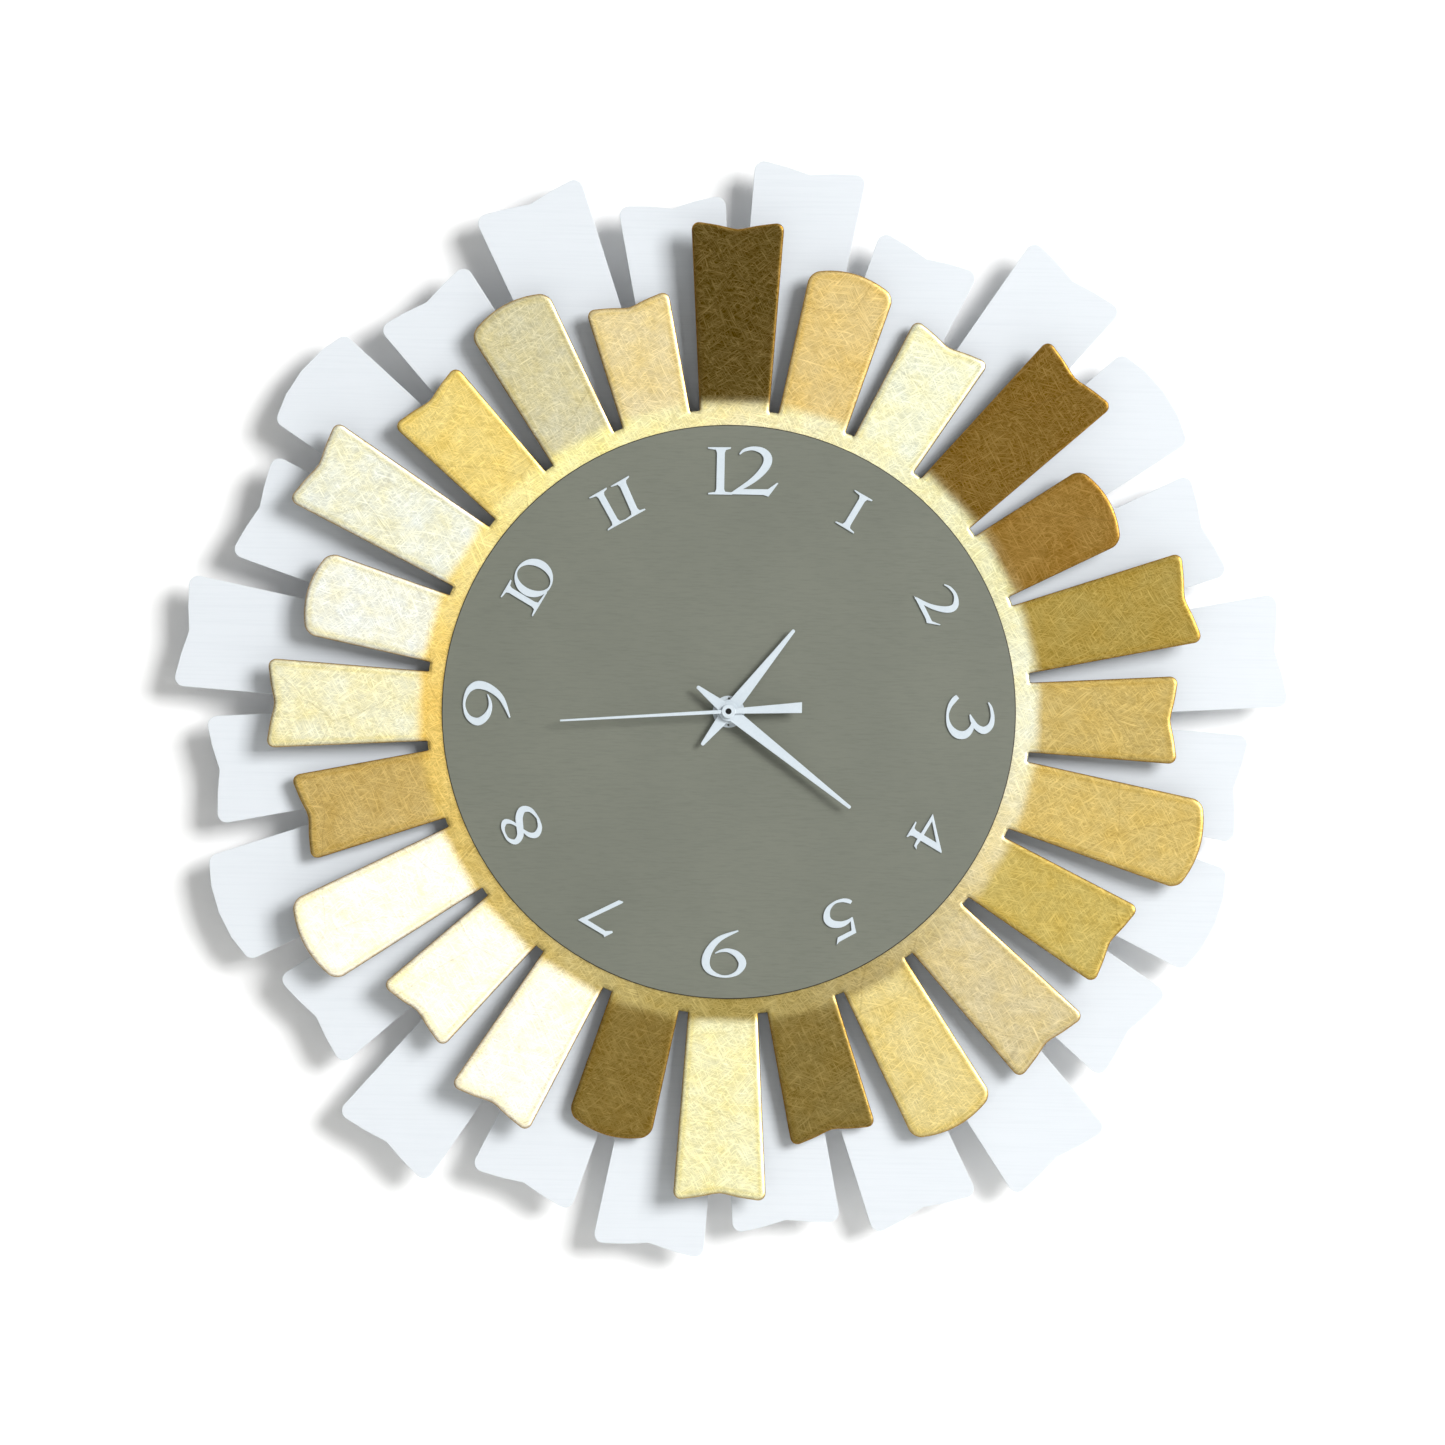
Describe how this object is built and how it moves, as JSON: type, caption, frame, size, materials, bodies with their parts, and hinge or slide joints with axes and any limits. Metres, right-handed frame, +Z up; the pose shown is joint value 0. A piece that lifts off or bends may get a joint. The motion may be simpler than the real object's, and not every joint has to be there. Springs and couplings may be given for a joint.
{
  "type": "wall clock",
  "caption": "Round sunburst wall clock with a taupe dial, applied numerals, a gilded ray plate in front of a white ray plate, quartz movement and rear hanger.",
  "frame": {"origin": "centre of the hanging keyhole's round entry, where the hanger bracket's rear face meets the wall", "axes": "+X to the viewer's right, +Y into the wall, +Z up; the dial faces -Y"},
  "size_m": [0.5968, 0.0495, 0.5884],
  "materials": {
    "white_enamel": "satin powder coat over brushed sheet",
    "gold_leaf": "metal leaf over primer, lacquered",
    "taupe_enamel": "fine brushed satin",
    "white_lacquer": "satin",
    "zinc_steel": "zinc plated",
    "nickel_plate": "nickel plated",
    "brass": "machined",
    "rotor_magnet": "ground",
    "copper_wire": "enamelled winding",
    "black_abs": "moulded",
    "circuit_laminate": "solder mask",
    "battery_sleeve": "printed-film sleeve, plain",
    "rubber": "matte"
  },
  "bodies": {
    "root": {"rear_sunburst": "white_enamel", "front_sunburst": "gold_leaf", "dial_plate": "taupe_enamel", "numeral_1": "white_lacquer", "numeral_2": "white_lacquer", "numeral_3": "white_lacquer", "numeral_4": "white_lacquer", "numeral_5": "white_lacquer", "numeral_6": "white_lacquer", "numeral_7": "white_lacquer", "numeral_8": "white_lacquer", "numeral_9": "white_lacquer", "numeral_10": "white_lacquer", "numeral_11": "white_lacquer", "numeral_12": "white_lacquer", "dial_nut": "white_lacquer", "rubber_washer": "rubber", "case_front": "black_abs", "case_back": "black_abs", "threaded_bush": "brass", "circuit_board": "circuit_laminate", "quartz_crystal": "nickel_plate", "coil_bobbin": "black_abs", "coil_winding": "copper_wire", "stator": "zinc_steel", "negative_contact": "nickel_plate", "positive_contact": "nickel_plate", "hanger_bracket": "zinc_steel", "bracket_rivets": "zinc_steel", "dial_studs": "zinc_steel", "plate_spacers": "zinc_steel", "stud_washers": "zinc_steel", "stud_nuts": "zinc_steel", "wall_standoffs": "black_abs", "standoff_screws": "zinc_steel", "bumper_feet": "rubber"},
    "seconds_arbor": {"second_hand": "white_lacquer", "second_wheel": "brass"},
    "third_wheel": {"third_wheel": "brass"},
    "centre_wheel": {"centre_wheel": "brass"},
    "intermediate_wheel": {"intermediate_wheel": "brass"},
    "rotor": {"rotor": "rotor_magnet"},
    "minutes_arbor": {"minute_hand": "white_lacquer", "minute_arbor": "zinc_steel", "clutch_spring": "zinc_steel"},
    "motion_wheel": {"motion_wheel": "brass"},
    "hours_pipe": {"hour_hand": "white_lacquer", "hour_wheel": "brass"},
    "setting_knob": {"setting_knob": "black_abs"},
    "battery": {"battery": "battery_sleeve"}
  },
  "joints": [
    {"name": "second_hand", "type": "hinge", "parent": "root", "child": "seconds_arbor", "pos_m": [0, 0, -0.095], "axis": [0, 1, 0], "continuous": true},
    {"name": "third_wheel", "type": "hinge", "parent": "root", "child": "third_wheel", "pos_m": [-0.0106, 0, -0.08888], "axis": [0, 1, 0], "continuous": true},
    {"name": "centre_wheel", "type": "hinge", "parent": "root", "child": "centre_wheel", "pos_m": [0, 0, -0.095], "axis": [0, 1, 0], "continuous": true},
    {"name": "intermediate_wheel", "type": "hinge", "parent": "root", "child": "intermediate_wheel", "pos_m": [0.00311, 0, -0.08341], "axis": [0, 1, 0], "continuous": true},
    {"name": "rotor", "type": "hinge", "parent": "root", "child": "rotor", "pos_m": [0.01276, 0, -0.08171], "axis": [0, 1, 0], "continuous": true},
    {"name": "minute_hand", "type": "hinge", "parent": "root", "child": "minutes_arbor", "pos_m": [0, 0, -0.095], "axis": [0, 1, 0], "continuous": true},
    {"name": "motion_wheel", "type": "hinge", "parent": "root", "child": "motion_wheel", "pos_m": [0.0096, 0, -0.095], "axis": [0, 1, 0], "continuous": true},
    {"name": "hour_hand", "type": "hinge", "parent": "root", "child": "hours_pipe", "pos_m": [0, 0, -0.095], "axis": [0, 1, 0], "continuous": true},
    {"name": "setting_knob", "type": "hinge", "parent": "root", "child": "setting_knob", "pos_m": [0.019, 0, -0.09158], "axis": [0, 1, 0], "continuous": true},
    {"name": "battery_slide", "type": "slide", "parent": "root", "child": "battery", "axis": [0, 1, 0], "range_m": [0, 0.02]}
  ],
  "couplings": [
    {"joint": "third_wheel", "follows": "second_hand", "ratio": -0.13333},
    {"joint": "centre_wheel", "follows": "second_hand", "ratio": 0.016667},
    {"joint": "intermediate_wheel", "follows": "second_hand", "ratio": -5},
    {"joint": "rotor", "follows": "second_hand", "ratio": 30},
    {"joint": "motion_wheel", "follows": "minute_hand", "ratio": -0.33333},
    {"joint": "hour_hand", "follows": "minute_hand", "ratio": 0.083333},
    {"joint": "setting_knob", "follows": "minute_hand", "ratio": 0.85714}
  ]
}
